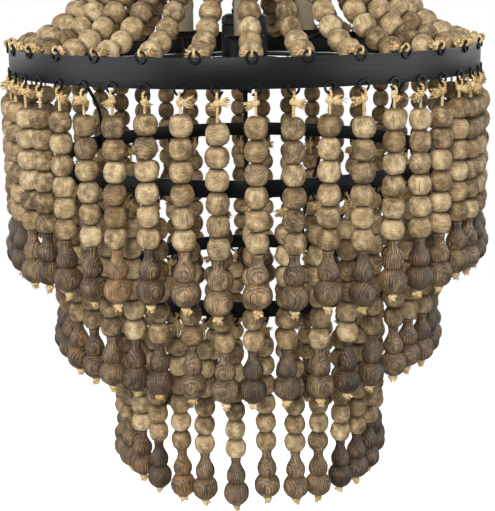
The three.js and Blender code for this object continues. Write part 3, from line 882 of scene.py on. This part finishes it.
def ironwork():
    """The hub with its ball nut and spokes, the column, and the crown's boss and arms."""
    hub_top = outer_top + 37 * MM
    boss_top = crown_height + 15 * MM
    hub_side = [(22, 0), (24.4, -0.8), (28.6, -3.6), (30, -6.8), (30, -13.4), (29, -14.4), (30, -15.4), (30, -58)]
    hub_side += [(29, -59), (30, -60), (30, -65.6), (28, -68.6), (22, -74.2), (16.4, -79.2), (15, -80)]
    hub_piece = turned("hub_body", black_iron, 48, hub_side, angle=40, foot=(0, 0, hub_top))
    placed(hub_piece, "frame", "hub")
    nut_side = [(7.8, 0), (8.6, -1.4), (10.6, -5), (12.5, -9.4), (13, -13), (12.2, -17), (9.8, -20.8), (6.2, -23.8)]
    nut_side += [(2.8, -25.5), (0.8, -26)]
    hub_height, boss_height = 80 * MM, 30 * MM
    nut_foot = (0, 0, hub_top - (hub_height + seat_gap))
    placed(turned("hub_ball", black_iron, 32, nut_side, foot=nut_foot), "frame", "hub_nut")
    reach = (boss_top - (boss_height + seat_gap) - hub_top) / MM
    wall = [(12.5, 0.3), (16.4, 0.3), (16.8, 1.2), (16.8, 5), (16.4, 5.8), (15, 6.4), (15, reach - 6.4)]
    wall += [(16.4, reach - 5.8), (16.8, reach - 5), (16.8, reach - 1.2), (16.4, reach), (12.5, reach)]
    pipe = turned("column_tube", black_iron, 48, wall, angle=40, hollow=True, foot=(0, 0, hub_top))
    placed(pipe, "frame", "column")
    boss = [(17.5, 0), (19.4, -0.6), (20, -2.4), (20, -9), (19.2, -10), (19.2, -20), (20, -21), (20, -27.6)]
    boss += [(19.4, -29.4), (17.5, -30)]
    boss_piece = turned("crown_boss", black_iron, 48, boss, angle=40, foot=(0, 0, boss_top))
    placed(boss_piece, "frame", "crown_spider")
    arm_ends, spoke_ends = (18.6 * MM, 126.3 * MM), (hub_reach, 301 * MM)
    spoke_height = outer_top - 14.5 * MM
    for i in range(3):
        azimuth = 60 + 120 * i
        arm = flat_bar(f"crown_arm_{i + 1}", azimuth, *arm_ends, crown_height, width=12 * MM, height=5 * MM)
        placed(arm, "frame", "crown_spider")
        spoke = flat_bar(f"spoke_bar_{i + 1}", azimuth, *spoke_ends, spoke_height, width=16 * MM, height=5 * MM)
        placed(spoke, "frame", f"spoke_{i + 1}")


ironwork()


# ---------------------------------------------------------------- chain and ceiling fitting


def stretched(ring, length):
    """Draws a standing ring out to a link of this length."""
    low, high = min(v.co.z for v in ring.data.vertices), max(v.co.z for v in ring.data.vertices)
    for point in ring.data.vertices:
        point.co.z += math.copysign((length - (high - low)) / 2, point.co.z)
    return ring


def chain():
    """The links, each turned as its own solid is."""
    width, wire, length = 24 * MM, 5 * MM, 42 * MM
    for i in range(4):
        node = f"chain_link_{i + 1}"
        low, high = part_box(node)
        link = stretched(wire_ring(f"link_{i + 1}", black_iron, width, wire, segments=32, sides=12), length)
        turn = rotated(90 if high.y - low.y > high.x - low.x else 0)
        link.data.transform(Matrix.Translation((low + high) / 2) @ turn)
        placed(link, node, node)


def threaded_stem(top, bottom, radius):
    """A stem with a coarse thread, in millimetres."""
    pitch, depth, end_radius = 1.5, 0.55, radius - 0.6
    crests = 2 * int((top - bottom) / pitch) - 2
    thread = [(radius - depth * (k % 2), top - (k + 1) * (pitch / 2)) for k in range(crests)]
    return turned("canopy_stem", black_iron, 24, [(end_radius, top), *thread, (end_radius, bottom)], angle=30)


def ceiling_fitting():
    """The canopy with its collar nut, the ring and stem that hold it, and the ring on the column."""
    dish = [(5.4, -26), (30, -26), (34, -25.6), (41, -23.9), (49, -20.6), (56, -15.6), (61, -9), (63.6, -3.4)]
    dish += [(65, -2.6), (65, -0.4), (64.4, 0), (62.6, 0), (61.6, -3), (59, -9), (54, -14.7), (47.6, -18.9)]
    dish += [(40, -22), (33.4, -23.7), (30, -24.2), (5.4, -24.2)]
    placed(turned("canopy_dish", black_iron, 72, dish, angle=35, hollow=True), "canopy", "canopy")
    collar = [(5.4, 0), (10.2, 0), (12.2, -0.8), (13, -2.8), (13, -5.4), (12.6, -7), (11.2, -8), (5.4, -8)]
    collar_top = (0, 0, -26.3 * MM)
    nut = turned("canopy_collar", black_iron, 40, collar, angle=40, hollow=True, foot=collar_top)
    placed(nut, "canopy", "canopy_nut")
    ring_size, ring_wire = 38 * MM, 6 * MM
    low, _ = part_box("canopy_loop")
    ring = wire_ring("canopy_ring", black_iron, ring_size, ring_wire, segments=40, sides=12)
    ring.data.transform(moved(z=low.z + ring_size / 2))
    placed(ring, "ceiling_fixing", "canopy_loop")
    stem = threaded_stem(top=-2.8, bottom=(low.z + 35 * MM) / MM, radius=5)
    placed(stem, "ceiling_fixing", "canopy_loop")
    low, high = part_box("column_loop")
    ring = wire_ring("column_ring", black_iron, ring_size, ring_wire, segments=40, sides=12)
    ring.data.transform(moved(z=high.z - ring_size / 2) @ rotated(90))
    placed(ring, "frame", "column_loop")
    neck = [(5, 0), (6.6, 0.2), (6.6, 2.6), (5, 3.4), (4.2, 11)]
    placed(turned("column_stub", black_iron, 32, neck, foot=(0, 0, low.z)), "frame", "column_loop")


chain()
ceiling_fitting()


# ---------------------------------------------------------------- lamps


def filament(name, place):
    """The bulb's thin wire, up one side and down the other."""
    turns = [(-3, 10), (-3.4, 30), (-2, 44), (-0.9, 34), (0, 45), (0.9, 34), (2, 44), (3.4, 30), (3, 10)]
    root, stretch = 74, 0.9
    points = [place + Vector((x * MM, 0, (root + z * stretch) * MM)) for x, z in turns]
    return tube(name, cap_brass, points, 0.3 * MM, bevel=1)


def lamps():
    """Three candle lamps: arm, cup, sleeve and bulb. Their profiles count from the outer ring's top."""
    lamp_radius = 95 * MM
    start = outer_top - 24 * MM
    cup = [(9, 4), (13, 4.1), (17, 5.4), (21, 8.4), (23.6, 11.8), (24, 12.8), (23.3, 13.2), (22.4, 12.8)]
    cup += [(20, 9.7), (16.4, 6.9), (13.4, 5.6)]
    sleeve_wall = [(11.7, 5.9), (12.7, 5.9), (13, 6.4), (13, 78.6), (12.6, 79.7), (12, 79.9), (11.7, 79.4)]
    screw = [(6.4 - 0.5 * (k % 2), 51.5 + 1.5 * k) for k in range(13)]
    shell = [(4, 47.9), (6, 48.6), (6.4, 50), *screw, (6.4, 71), (6.4, 73.6), (5.6, 74)]
    flame = [(5.6, 74.2), (6.2, 76), (6.8, 81), (9.2, 87), (13, 94), (16.3, 101), (17.4, 107), (16.8, 113)]
    flame += [(14.6, 121), (11.2, 129.6), (7.4, 137.6), (4, 144), (1.7, 148.4), (0.5, 149.9)]
    for i in range(3):
        azimuth, number = 120 * i, i + 1
        foot = at(azimuth, lamp_radius, outer_top)
        points = [at(azimuth, hub_reach, start), at(azimuth, lamp_radius, outer_top + 3.7 * MM)]
        handles = [
            (at(azimuth, 20 * MM, start), at(azimuth, 76 * MM, start)),
            (at(azimuth, lamp_radius, start - 30 * MM), at(azimuth, lamp_radius, outer_top + 30 * MM)),
        ]
        arm = tube(f"lamp_arm_bar_{number}", black_iron, points, 4 * MM, handles, resolution=24)
        placed(arm, "frame", f"lamp_arm_{number}")
        placed(turned(f"cup_{number}", black_iron, 40, cup, foot=foot), "frame", f"drip_cup_{number}")
        sleeve = turned(f"sleeve_{number}", ivory, 40, sleeve_wall, angle=40, hollow=True, foot=foot)
        placed(sleeve, "frame", f"candle_sleeve_{number}")
        bulb = f"bulb_{number}"
        placed(turned(f"{bulb}_cap", cap_brass, 24, shell, angle=40, foot=foot), bulb, bulb)
        placed(turned(f"{bulb}_flame", clear_glass, 32, flame, angle=60, foot=foot), bulb, bulb)
        placed(filament(f"{bulb}_filament", foot), bulb, bulb)


lamps()


# ---------------------------------------------------------------- the CAD nodes that stay, and the originals

finishes = {
    "iron": black_iron,
    "bead_wood": bead_wood,
    "sleeve_white": ivory,
    "porcelain": glazed,
    "bulb_glass": clear_glass,
}
for row in frame["record"]["subparts"]:
    node = frame["nodes"][row["node"]]
    node.data.materials.clear()
    node.data.materials.append(finishes[row["material_slot"]])

wooden, fibrous = (bead, round_bead, finial), (loop, strand, short_strand, rope_stub, knot, rope_end, end_fray)
for original in (*wooden, eye, *fibrous, hanging_cord, *tails):
    bpy.data.objects.remove(original)


# ---------------------------------------------------------------- stage, light and camera

# The camera that was fitted to the photograph, in pixels, metres and degrees
photo_width, photo_height = 495, 511
sensor = 36
focal_pixels = 1045.3
axis_distance = 1.3923
camera_rise = 0.0755  # above the outer ring's top
tilt_down = 11.14
roll = 0.74
axis_pixel = 246.5
lens_shift = -0.13


def camera():
    data = bpy.data.cameras.new("camera")
    data.lens, data.sensor_width = sensor * focal_pixels / photo_height, sensor
    data.shift_y = lens_shift
    eye_place = Vector((0, -axis_distance, outer_top + camera_rise))
    yaw = -math.atan((photo_width / 2 - axis_pixel) / focal_pixels)
    turn = Matrix.Rotation(yaw, 4, "Z") @ rotated(90 - tilt_down, "X") @ rotated(-roll)
    item = bpy.data.objects.new("camera", data)
    item.matrix_world = Matrix.Translation(eye_place) @ turn
    bpy.context.scene.collection.objects.link(item)
    bpy.context.scene.camera = item


def floor():
    """A pale floor well below the light, which the camera sees as white."""
    drop = 1.1
    pale = Recipe("pale_floor")
    glow = pale.add("ShaderNodeLightPath", output="Is Camera Ray") * 0.88
    paint = pale.finish(Base_Color=(0.86, 0.86, 0.86), Roughness=0.9, Emission_Color=(1, 1, 1), Emission_Strength=glow)
    unselect()
    bpy.ops.mesh.primitive_circle_add(vertices=96, radius=14, fill_type="NGON", location=(0, 0, cad_box[0].z - drop))
    settled("floor", paint)


def world():
    """White to the camera, through glass and in reflections; dim to everything else."""
    sky = Recipe("studio", "worlds")
    camera_ray, glass_ray, shine_ray = (
        sky.add("ShaderNodeLightPath", output=f"Is {kind} Ray") for kind in ("Camera", "Transmission", "Glossy")
    )
    white_share = sky.math("MAXIMUM", sky.math("MAXIMUM", camera_ray, glass_ray), shine_ray)
    dim, white = (
        sky.add("ShaderNodeBackground", values={"Color": (1, 1, 1), "Strength": strength}) for strength in (0.07, 1.0)
    )
    mix = sky.add("ShaderNodeMixShader", values={0: white_share, 1: dim, 2: white})
    bpy.context.scene.world = sky.shown(mix, "ShaderNodeOutputWorld")


def lamp(name, place, power, size, shine_only=False):
    """A square lamp of so many watts, aimed at the strings. One that is shine_only lights no matt surface."""
    light = bpy.data.lights.new(name, "AREA")
    light.energy, light.size = power, size
    item = bpy.data.objects.new(name, light)
    strings_middle = Vector((0, 0, -0.65))
    aim = strings_middle - Vector(place)
    item.matrix_world = Matrix.Translation(place) @ aim.to_track_quat("-Z", "Y").to_matrix().to_4x4()
    item.visible_diffuse = not shine_only
    bpy.context.scene.collection.objects.link(item)


camera()
floor()
world()
lamp("key", (-0.4, -2.6, 0.6), 78, 1.1)
lamp("left", (-2.4, 1.5, 0.3), 15, 1.4)
lamp("right", (2.4, 1.5, 0.3), 15, 1.4)
lamp("left_shine", (-2.3, -1.2, -0.2), 118, 2.4, shine_only=True)
lamp("right_shine", (2.3, -1.2, -0.2), 118, 2.4, shine_only=True)
lamp("left_edge_shine", (-2.4, 1.3, 0.0), 6, 1.6, shine_only=True)
lamp("right_edge_shine", (2.4, 1.0, 0.0), 12, 1.6, shine_only=True)
lamp("back", (0.2, 2.7, 0.7), 38, 1.8)
bpy.context.scene.view_settings.view_transform = "Standard"
